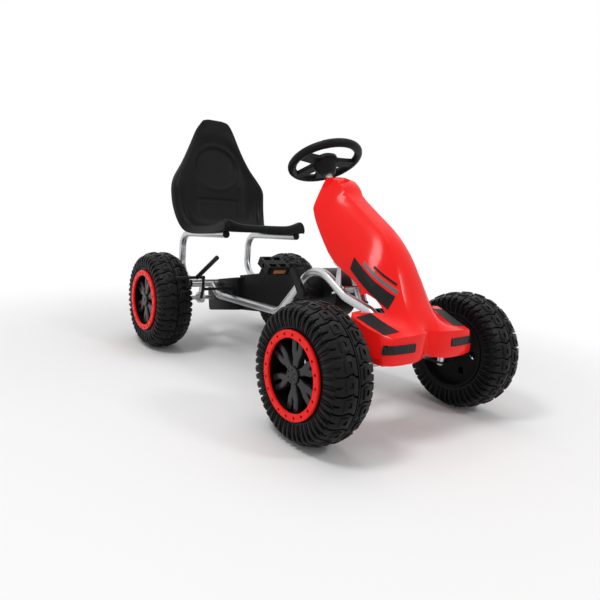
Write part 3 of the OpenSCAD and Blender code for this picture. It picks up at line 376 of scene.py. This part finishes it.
floorMesh = bmesh.new()
bmesh.ops.create_grid(floorMesh, x_segments=2, y_segments=2, size=stage["floor"])
floorData = bpy.data.meshes.new("floor")
floorMesh.to_mesh(floorData)
floorMesh.free()
floor = addObject("floor", floorData)
dress(floor, makeFloor())
print("camera, lamps and floor set")

for name, piece in nodes.items():
    dress(piece, barrelBlack if name.startswith("rim_") else finish[slotOf[name]])
print("CAD nodes dressed")

# tools that the pieces share, all in millimetres
sameLevel = 1.0  # heights closer than this count as one
samePoint = 0.01  # points closer than this are merged


def allOf(mesh):
    return mesh.verts[:] + mesh.edges[:] + mesh.faces[:]


def highestFace(mesh):
    return max(mesh.faces, key=lambda f: f.calc_center_median().z)


def sharpEdges(mesh, angle):
    return [e for e in mesh.edges if e.calc_face_angle(0) > angle]


def soften(mesh, edges, width, segments=2):
    bmesh.ops.bevel(mesh, geom=edges, offset=width, offset_type="OFFSET", segments=segments, profile=0.5,
                    affect="EDGES", material=-1, clamp_overlap=True)


def cutAt(mesh, axis, places):
    for at in places:
        bmesh.ops.bisect_plane(mesh, geom=allOf(mesh), plane_co=axis * at, plane_no=axis)


def slab(outline, low, high):
    # a flat outline of (x, y) points, pulled up into a closed form
    mesh = bmesh.new()
    foot = mesh.faces.new([mesh.verts.new((x, y, low)) for x, y in outline])
    pulled = bmesh.ops.extrude_face_region(mesh, geom=[foot])["geom"]
    top = [g for g in pulled if isinstance(g, bmesh.types.BMVert)]
    bmesh.ops.translate(mesh, verts=top, vec=(0, 0, high - low))
    bmesh.ops.recalc_face_normals(mesh, faces=mesh.faces)
    return mesh


def sweep(outline, start, angle, steps):
    # an outline of (radius, height) points, turned part of the way round into a closed form
    mesh = bmesh.new()
    mesh.faces.new([mesh.verts.new((r, 0, z)) for r, z in outline])
    bmesh.ops.rotate(mesh, verts=mesh.verts, matrix=Matrix.Rotation(start, 3, "Z"))
    bmesh.ops.spin(mesh, geom=mesh.faces[:], cent=(0, 0, 0), axis=(0, 0, 1), angle=angle, steps=steps)
    bmesh.ops.recalc_face_normals(mesh, faces=mesh.faces)
    return mesh


def ring(outline, steps):
    # an outline of (radius, height) points, turned once round
    mesh = bmesh.new()
    verts = [mesh.verts.new((r, 0, z)) for r, z in outline]
    edges = [mesh.edges.new(pair) for pair in zip(verts, verts[1:] + verts[:1])]
    bmesh.ops.spin(mesh, geom=verts + edges, cent=(0, 0, 0), axis=(0, 0, 1), angle=fullTurn, steps=steps,
                   use_merge=True)
    bmesh.ops.remove_doubles(mesh, verts=mesh.verts, dist=samePoint)
    bmesh.ops.recalc_face_normals(mesh, faces=mesh.faces)
    return mesh


def repeatRound(mesh, count):
    # copies of everything, evenly round the local Z axis
    turn = fullTurn - fullTurn / count
    bmesh.ops.spin(mesh, geom=allOf(mesh), cent=(0, 0, 0), axis=(0, 0, 1), angle=turn, steps=count - 1,
                   use_duplicate=True)


def join(target, source):
    data = bpy.data.meshes.new("part")
    source.to_mesh(data)
    source.free()
    target.from_mesh(data)
    bpy.data.meshes.remove(data)


def placed(x, y, z, turn):
    return Matrix.Translation(Vector((x, y, z)) * mm) @ turn


def shade(mesh, crease):
    # smooth, apart from the edges that turn by more than the crease angle
    for face in mesh.faces:
        face.smooth = True
    for edge in mesh.edges:
        edge.smooth = edge.calc_face_angle(0) < crease


def finishPiece(mesh, name, body, slot, material=None, place=None, crease=0.6, stands=None):
    # millimetres to metres, into place, shaded, dressed and riding on its body
    bmesh.ops.scale(mesh, verts=mesh.verts, vec=(mm, mm, mm))
    shade(mesh, crease)
    data = bpy.data.meshes.new(name)
    mesh.to_mesh(data)
    mesh.free()
    if place:
        data.transform(place)
    piece = addObject(name, data)
    dress(piece, material or finish[slot])
    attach(piece, body)
    if stands:
        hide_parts(stands)


# the two big mouldings: smooth skins from copies of the faceted CAD nodes
skin = {
    "merge": 0.02, "flat": 0.7, "square": 0.9,
    "seatLevels": 2, "seatCrease": 3, "hoodCrease": 0.45,
}


def skinFrom(node, name, crease):
    piece = addObject(name, nodes[node].data.copy())
    mesh = bmesh.new()
    mesh.from_mesh(piece.data)
    bmesh.ops.remove_doubles(mesh, verts=mesh.verts, dist=skin["merge"] * mm)
    bmesh.ops.join_triangles(mesh, faces=mesh.faces, angle_face_threshold=skin["flat"],
                             angle_shape_threshold=skin["square"])
    shade(mesh, crease)
    mesh.to_mesh(piece.data)
    mesh.free()
    return piece


# seat back: the oval dish, its raised rim, the upright channels and the seam across
seat = {
    "oval": (712, 94, 82), "dish": 5.0, "dishEdge": 10,
    "rim": 1.8, "rimOut": 9, "rimWide": 9,
    "inner": (103, 505, 640), "innerWide": 5.5,
    "outer": ((186, 650), (160, 492)), "outerWide": 6.5,
    "groove": 4.0, "fade": 15,
    "seam": (576, 98), "seamWide": 5.5, "seamShare": 0.8, "seamFade": 10,
    "back": 490, "facing": 0.35,
}


def notch(off, wide):
    # 1 on the line, falling to 0 at the groove's edge
    return max(0.0, 1 - (off / wide) ** 2)


def within(value):
    return min(1.0, max(0.0, value))


def seatPress(spec, x, z):
    # how deep the back is pressed at this place
    middle, across, tall = spec["oval"]
    reach = math.hypot(x / across, (z - middle) / tall)
    off = (reach - 1) * (across + tall) / 2
    depth = spec["dish"] * within(0.5 - off / spec["dishEdge"])
    depth -= spec["rim"] * notch(off - spec["rimOut"], spec["rimWide"])

    line, low, high = spec["inner"]
    ends = within(min(z - low, high - z) / spec["fade"])
    depth += spec["groove"] * notch(x - line, spec["innerWide"]) * ends

    (topX, topZ), (lowX, lowZ) = spec["outer"]
    line = lowX + (topX - lowX) * (z - lowZ) / (topZ - lowZ)
    ends = within(min(z - lowZ, topZ - z) / spec["fade"])
    depth += spec["groove"] * notch(x - line, spec["outerWide"]) * ends

    level, half = spec["seam"]
    ends = within((half - x) / spec["seamFade"])
    return depth + spec["groove"] * spec["seamShare"] * notch(z - level, spec["seamWide"]) * ends


def pressSeat(piece, spec):
    # the skin is rounded into a plain mesh, and both sides of its back take the moulded lines
    rounding = piece.modifiers.new("round", "SUBSURF")
    rounding.levels = skin["seatLevels"]
    rounding.render_levels = skin["seatLevels"]
    shape = piece.evaluated_get(bpy.context.evaluated_depsgraph_get())
    data = bpy.data.meshes.new_from_object(shape)
    piece.modifiers.clear()
    piece.data = data
    outward = [v.normal.copy() for v in data.vertices]
    for v, normal in zip(data.vertices, outward):
        x, _, z = v.co / mm
        if z > spec["back"] and abs(normal.y) > spec["facing"]:
            rearward = normal if normal.y > 0 else -normal
            v.co += rearward * seatPress(spec, abs(x), z) * mm


seatSkin = skinFrom("seat_shell", "seatSkin", skin["seatCrease"])
pressSeat(seatSkin, seat)
dress(seatSkin, finish["black_plastic"])
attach(seatSkin, "frame")
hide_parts("seat_shell")

hoodSkin = skinFrom("front_fairing", "hoodSkin", skin["hoodCrease"])
dress(hoodSkin, finish["red_gloss_plastic"])
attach(hoodSkin, "frame")
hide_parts("front_fairing")
print("moulded skins made")

# plain bars on the fairing's sides, pads on the bumper tops and the two lamps
bars = (
    {"name": "wideBar", "from": -262, "to": -92, "low": 566, "high": 594, "film": charcoalFilm},
    {"name": "greyBar", "from": -246, "to": -120, "low": 599, "high": 607, "film": greyFilm},
    {"name": "thinBar", "from": -228, "to": -150, "low": 612, "high": 617, "film": charcoalFilm},
)
hoodSlope = math.radians(31.4)  # of the hood's lower edge
barLay = {"slope": hoodSlope, "lean": 0.7, "away": 320, "cell": 4, "proud": 0.5}
topPad = {
    "x": (118, 170), "y": (-596, -500), "slant": 0.16, "corner": 4.5,
    "away": 420, "cell": 3, "proud": 0.8,
}
lampPanel = {
    "long": 104, "tall": 23, "from": 74, "z": 261, "corner": 4.2, "away": 120, "cell": 2.5,
    "rim": 2.4, "proud": 2.6, "lens": 1.0,
}
bumperCorner = {"x": 150, "y": -590, "radius": 26}
sunk = 0.5  # of a film's underside into the skin


def patchGrid(wide, tall, cell):
    mesh = bmesh.new()
    columns = max(2, round(wide / cell))
    rows = max(2, round(tall / cell))
    bmesh.ops.create_grid(mesh, x_segments=columns, y_segments=rows, size=0.5)
    bmesh.ops.scale(mesh, verts=mesh.verts, vec=(wide, tall, 1))
    return mesh


def roundCorners(mesh, size):
    corners = [v for v in mesh.verts if len(v.link_edges) == 2]
    bmesh.ops.bevel(mesh, geom=corners, offset=size, offset_type="OFFSET", segments=4, profile=0.5,
                    affect="VERTICES", material=-1, clamp_overlap=False)


def aim(mesh, place):
    # put each point where it starts from, and note the way it looks
    look = mesh.verts.layers.float_vector.new("look")
    for v in mesh.verts:
        v.co, v[look] = place(v.co.x, v.co.y)


def drape(mesh, tree, proud):
    # lay the points on to a skin, then thicken them into a closed piece a little proud of it
    look = mesh.verts.layers.float_vector["look"]
    for v in mesh.verts[:]:
        spot = tree.ray_cast(v.co * mm, v[look])[0]
        if spot:
            v.co = spot / mm + v[look] * sunk
        else:
            mesh.verts.remove(v)
    out = bmesh.ops.extrude_face_region(mesh, geom=mesh.faces[:])["geom"]
    for v in out:
        if isinstance(v, bmesh.types.BMVert):
            v.co -= v[look] * (proud + sunk)
    mesh.verts.layers.float_vector.remove(look)
    bmesh.ops.recalc_face_normals(mesh, faces=mesh.faces)
    return [f for f in out if isinstance(f, bmesh.types.BMFace)]


def barPlace(bar, lay, side):
    cos, sin = math.cos(lay["slope"]), math.sin(lay["slope"])

    def place(u, v):
        along = u + v * lay["lean"] + (bar["from"] + bar["to"]) / 2
        over = v + (bar["low"] + bar["high"]) / 2
        foot = Vector((side * lay["away"], along * cos - over * sin, along * sin + over * cos))
        return foot, Vector((-side, 0, 0))
    return place


def padPlace(pad, side):
    def place(u, v):
        y = sum(pad["y"]) / 2 + v
        x = sum(pad["x"]) / 2 + u + v * pad["slant"]
        return Vector((side * x, y, pad["away"])), Vector((0, 0, -1))
    return place


def lampPlace(panel, corner, side):
    # straight along the front, then round the bumper's corner
    def place(u, v):
        along = panel["from"] + panel["long"] / 2 + u
        turn = max(along - corner["x"], 0) / corner["radius"]
        look = Vector((-side * math.sin(turn), math.cos(turn), 0))
        foot = Vector((side * min(along, corner["x"]), corner["y"], panel["z"] + v))
        return foot - look * panel["away"], look
    return place


skinTree = BVHTree.FromObject(hoodSkin, bpy.context.evaluated_depsgraph_get())
for hand, side in sides.items():
    for bar in bars:
        patch = patchGrid(bar["to"] - bar["from"], bar["high"] - bar["low"], barLay["cell"])
        aim(patch, barPlace(bar, barLay, side))
        drape(patch, skinTree, barLay["proud"])
        finishPiece(patch, bar["name"] + "_" + hand, "frame", "black_plastic", bar["film"])
    patch = patchGrid(topPad["x"][1] - topPad["x"][0], topPad["y"][1] - topPad["y"][0], topPad["cell"])
    roundCorners(patch, topPad["corner"])
    aim(patch, padPlace(topPad, side))
    drape(patch, skinTree, topPad["proud"])
    finishPiece(patch, "topPad_" + hand, "frame", "black_plastic", charcoalFilm)
    panel = patchGrid(lampPanel["long"], lampPanel["tall"], lampPanel["cell"])
    roundCorners(panel, lampPanel["corner"])
    aim(panel, lampPlace(lampPanel, bumperCorner, side))
    lens = drape(panel, skinTree, lampPanel["proud"])
    bmesh.ops.inset_region(panel, faces=lens, thickness=lampPanel["rim"], depth=-lampPanel["lens"],
                           use_even_offset=True)
    finishPiece(panel, "lampPanel_" + hand, "frame", "black_plastic", smokedLens)
print("bars, pads and lamps laid on")

# boxy mouldings rounded: the pedals and the outer edges of the chain case
roundings = {
    "pedal": 3.0, "chainCase": 5.0, "caseSide": 40,
    "flat": 0.01, "sharp": 0.6, "widths": 3, "crease": 0.5,
}


def roundedFrom(node, name, width, chosen, material=None):
    # a copy of a CAD node with its chosen sharp edges rounded, where they are long enough
    mesh = bmesh.new()
    mesh.from_mesh(nodes[node].data)
    bmesh.ops.scale(mesh, verts=mesh.verts, vec=(1 / mm, 1 / mm, 1 / mm))
    bmesh.ops.remove_doubles(mesh, verts=mesh.verts, dist=samePoint)
    bmesh.ops.dissolve_limit(mesh, angle_limit=roundings["flat"], verts=mesh.verts, edges=mesh.edges)
    sharp = [e for e in sharpEdges(mesh, roundings["sharp"]) if e.is_convex]
    shortest = roundings["widths"] * width
    taken = [e for e in sharp if e.calc_length() > shortest and chosen(e)]
    soften(mesh, taken, width, segments=3)
    finishPiece(mesh, name, nodes[node]["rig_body"], slotOf[node], material, crease=roundings["crease"],
                stands=node)


def anyEdge(edge):
    return True


def outerEdge(edge):
    return min(abs(v.co.x) for v in edge.verts) > roundings["caseSide"]


for hand in sides:
    roundedFrom("pedal_" + hand, "pedalSkin_" + hand, roundings["pedal"], anyEdge)
    roundedFrom("chain_case_" + hand, "chainCaseSkin_" + hand, roundings["chainCase"], outerEdge,
                caseBlack)
print("pedals and chain case rounded")

# pan-head screws along the chain case, in the case's own slanting frame
caseFrame = {"y": -185, "z": 322, "endY": 471, "endZ": 184}
screws = {
    "r": 4.5, "h": 2.4, "sunk": 0.4, "segments": 20, "edge": 0.9,
    "land": 1.2, "socketWall": 0.3, "socketDeep": 1.4, "side": 45,
    "spots": ((20, 66), (170, 66), (320, 66), (462, 66), (40, -62), (200, -56), (330, -46), (462, -42)),
}


def casePlace(spec, side):
    # local X along the case, Y up and Z outwards
    slant = math.atan2(spec["endZ"] - spec["z"], spec["endY"] - spec["y"])
    along = Vector((0, math.cos(slant), math.sin(slant)))
    up = Vector((0, -math.sin(slant), math.cos(slant)))
    turn = Matrix((along, up, Vector((side, 0, 0)))).transposed().to_4x4()
    return placed(0, spec["y"], spec["z"], turn)


def screwHead(spec):
    mesh = bmesh.new()
    bmesh.ops.create_cone(mesh, cap_ends=True, segments=spec["segments"], depth=spec["h"],
                          radius1=spec["r"], radius2=spec["r"])
    bmesh.ops.translate(mesh, verts=mesh.verts, vec=(0, 0, spec["h"] / 2 - spec["sunk"]))
    soften(mesh, highestFace(mesh).edges[:], spec["edge"], segments=3)
    top = highestFace(mesh)
    bmesh.ops.inset_region(mesh, faces=[top], thickness=spec["land"], use_even_offset=True)
    bmesh.ops.inset_region(mesh, faces=[top], thickness=spec["socketWall"], depth=-spec["socketDeep"],
                           use_even_offset=True)
    return mesh


for hand, side in sides.items():
    row = bmesh.new()
    for u, v in screws["spots"]:
        head = screwHead(screws)
        bmesh.ops.translate(head, verts=head.verts, vec=(u, v, screws["side"]))
        join(row, head)
    if side < 0:  # this side's frame is mirrored
        bmesh.ops.reverse_faces(row, faces=row.faces)
    finishPiece(row, "caseScrews_" + hand, "frame", "black_painted_steel",
                place=casePlace(caseFrame, side))
print("case screws set")

# grip sleeves on the steering wheel's rim
grips = {
    "y": -97, "z": 739, "tilt": -29.5, "rim": 110, "tube": 13.7, "segments": 20, "degrees": 4,
    "sharp": 0.9, "end": 1.0, "arcs": ((229, 311), (20, 54), (126, 160)),
}


def gripSleeve(spec, low, high):
    step = fullTurn / spec["segments"]
    outline = [(spec["rim"] + spec["tube"] * math.cos(k * step), spec["tube"] * math.sin(k * step))
               for k in range(spec["segments"])]
    steps = round((high - low) / spec["degrees"])
    mesh = sweep(outline, math.radians(low), math.radians(high - low), steps)
    soften(mesh, sharpEdges(mesh, spec["sharp"]), spec["end"])
    return mesh


sleeves = bmesh.new()
for low, high in grips["arcs"]:
    join(sleeves, gripSleeve(grips, low, high))
gripTurn = Matrix.Rotation(math.radians(grips["tilt"]), 4, "X")
finishPiece(sleeves, "gripSleeves", nodes["steering_wheel"]["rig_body"], "black_plastic",
            place=placed(0, grips["y"], grips["z"], gripTurn))
print("grips fitted")

# wheels: tread, walls and spokes, along the local Z axis with the outboard side up
wheelAt = {
    "front_right": (-1, -491), "front_left": (1, -491),
    "rear_right": (-1, 471), "rear_left": (1, 471),
}
wheelSize = {"x": 306, "z": 184}
tyre = {
    "pitches": 24, "blockTop": 180.4, "blockFoot": 166, "blockEdge": 1.5,
    "crownFrom": 8, "crownBend": 190, "cutsRound": 6, "cutsAcross": (20, 33, 47, 53),
    "carcass": ((112.2, 50), (114.4, 50), (114.4, 58), (118.4, 60), (132, 61.6), (146, 60.8),
                (155, 57.5), (162, 51.5), (167, 43), (170, 30), (171.4, 14), (171.8, 0)),
    "carcassSteps": 96,
    "wave": ((4, -0.05), (11, -0.03), (18, 0.10), (27, 0.09), (34, 0.0), (44, -0.02), (58, 0.01)),
    "groove": 0.10,
    "shoulder": ((0.40, 58), (0.42, 46), (0.50, 45), (0.54, 58)),
    "pad": ((0.22, 14), (0.80, 14), (0.88, 20), (0.88, 30), (0.80, 38), (0.20, 38)),
    "padSunk": 3, "padTop": 183.9, "padCorner": 3.0, "padEdge": 0.8, "facingUp": 0.9,
    "slot": (0.46, 0.46), "slotLand": 0.4, "slotWall": 0.3, "slotDeep": 3.4,
    "ridge": ((166, -3.0), (180.8, -1.5), (180.8, 1.5), (166, 3.0)), "ridgeSteps": 120,
    "ribs": ((0.09, 0.30, 0), (0.62, 0.86, 0), (0.40, 0.50, -12), (-0.06, 0.03, -15)),
    "ribOutline": ((164, 50), (166, 57), (162, 62.6), (150, 65.6), (130, 65.0), (122, 62.5),
                   (124, 57), (146, 50)),
    "ribOuter": 140, "ribSteps": 2, "ribSharp": 0.9, "ribEdge": 1.2,
}
spokes = {
    "count": 6, "low": 34, "high": 52.5, "edge": 4.6, "fineEdge": 0.6, "sharp": 0.3, "crease": 0.2,
    "hubLift": 2.5, "liftInside": 50, "liftOver": 30, "liftAbove": 5,
    "outline": ((19, -10), (38, -11.5), (58, -20), (97, -23.5), (97, -5.5), (66, -3), (61, 0),
                (66, 3), (97, 5.5), (97, 23.5), (58, 20), (38, 11.5), (19, 10)),
}


def wheelPlace(end):
    side, y = wheelAt[end]
    turn = Matrix.Rotation(math.radians(90 * side), 4, "Y")
    return placed(side * wheelSize["x"], y, wheelSize["z"], turn)


def wrapRound(mesh, spec):
    # bend a flat block on to the crowned tread
    for v in mesh.verts:
        over = max(abs(v.co.y) - spec["crownFrom"], 0)
        r = v.co.z - over * over / spec["crownBend"]
        turn = v.co.x / spec["blockTop"]
        v.co = (r * math.cos(turn), r * math.sin(turn), v.co.y)


def treadBlock(spec, pitch):
    near = spec["groove"] / 2
    far = 1 - spec["groove"] / 2
    outline = [((u + near) * pitch, z) for z, u in spec["wave"]]
    outline += [(u * pitch, z) for u, z in spec["shoulder"]]
    outline += [((u + far) * pitch, z) for z, u in reversed(spec["wave"])]
    mesh = slab(outline, spec["blockFoot"], spec["blockTop"])
    top = spec["blockTop"] - sameLevel
    soften(mesh, [e for e in mesh.edges if max(v.co.z for v in e.verts) > top], spec["blockEdge"])
    cutAt(mesh, Vector((1, 0, 0)), [pitch * k / spec["cutsRound"] for k in range(1, spec["cutsRound"])])
    cutAt(mesh, Vector((0, 1, 0)), spec["cutsAcross"])
    wrapRound(mesh, spec)
    return mesh


def treadPad(spec, pitch):
    outline = [(u * pitch, z) for u, z in spec["pad"]]
    mesh = slab(outline, spec["blockTop"] - spec["padSunk"], spec["padTop"])
    upright = [e for e in mesh.edges if abs(e.verts[0].co.z - e.verts[1].co.z) > sameLevel]
    soften(mesh, upright, spec["padCorner"], segments=3)
    soften(mesh, highestFace(mesh).edges[:], spec["padEdge"])
    top = max(mesh.faces, key=lambda f: f.calc_area() if f.normal.z > spec["facingUp"] else 0)
    middle = top.calc_center_median()
    bmesh.ops.inset_region(mesh, faces=[top], thickness=spec["slotLand"], use_even_offset=True)
    bmesh.ops.scale(mesh, verts=top.verts, vec=(*spec["slot"], 1), space=Matrix.Translation(-middle))
    bmesh.ops.inset_region(mesh, faces=[top], thickness=spec["slotWall"], depth=-spec["slotDeep"],
                           use_even_offset=True)
    wrapRound(mesh, spec)
    return mesh


def wallRib(spec, low, high, shorter, step):
    # a rib over the tyre's wall, whose outer end may stop short
    outline = [(r + (shorter if r > spec["ribOuter"] else 0), z) for r, z in spec["ribOutline"]]
    mesh = sweep(outline, low * step, (high - low) * step, spec["ribSteps"])
    soften(mesh, sharpEdges(mesh, spec["ribSharp"]), spec["ribEdge"])
    return mesh


def tyreMesh(spec):
    # one pitch of the outboard half, mirrored half a pitch on, repeated round and set on the carcass
    step = fullTurn / spec["pitches"]
    pitch = step * spec["blockTop"]
    mesh = treadBlock(spec, pitch)
    join(mesh, treadPad(spec, pitch))
    for low, high, shorter in spec["ribs"]:
        join(mesh, wallRib(spec, low, high, shorter, step))
    other = mesh.copy()
    bmesh.ops.scale(other, verts=other.verts, vec=(1, 1, -1))
    bmesh.ops.reverse_faces(other, faces=other.faces)
    bmesh.ops.rotate(other, verts=other.verts, matrix=Matrix.Rotation(step / 2, 3, "Z"))
    join(mesh, other)
    repeatRound(mesh, spec["pitches"])
    half = spec["carcass"]
    whole = list(half) + [(r, -z) for r, z in reversed(half[:-1])]
    join(mesh, ring(whole, spec["carcassSteps"]))
    join(mesh, ring(spec["ridge"], spec["ridgeSteps"]))
    return mesh


def spokeMesh(spec):
    # forked spokes that rise towards the hub
    mesh = slab(spec["outline"], spec["low"], spec["high"])
    top = spec["high"] - sameLevel
    soften(mesh, [e for e in mesh.edges if min(v.co.z for v in e.verts) > top], spec["edge"], segments=1)
    for v in mesh.verts:
        if v.co.x < spec["liftInside"] and v.co.z > spec["low"] + spec["liftAbove"]:
            v.co.z += spec["hubLift"] * (spec["liftInside"] - v.co.x) / spec["liftOver"]
    soften(mesh, sharpEdges(mesh, spec["sharp"]), spec["fineEdge"], segments=1)
    repeatRound(mesh, spec["count"])
    return mesh


for end in wheelAt:
    node = "tyre_" + end
    body = nodes[node]["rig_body"]
    place = wheelPlace(end)
    finishPiece(tyreMesh(tyre), "tyreSkin_" + end, body, "tyre_foam", place=place, stands=node)
    finishPiece(spokeMesh(spokes), "spokes_" + end, body, "grey_plastic", place=place,
                crease=spokes["crease"])
print("wheels made")

bpy.context.view_layer.update()
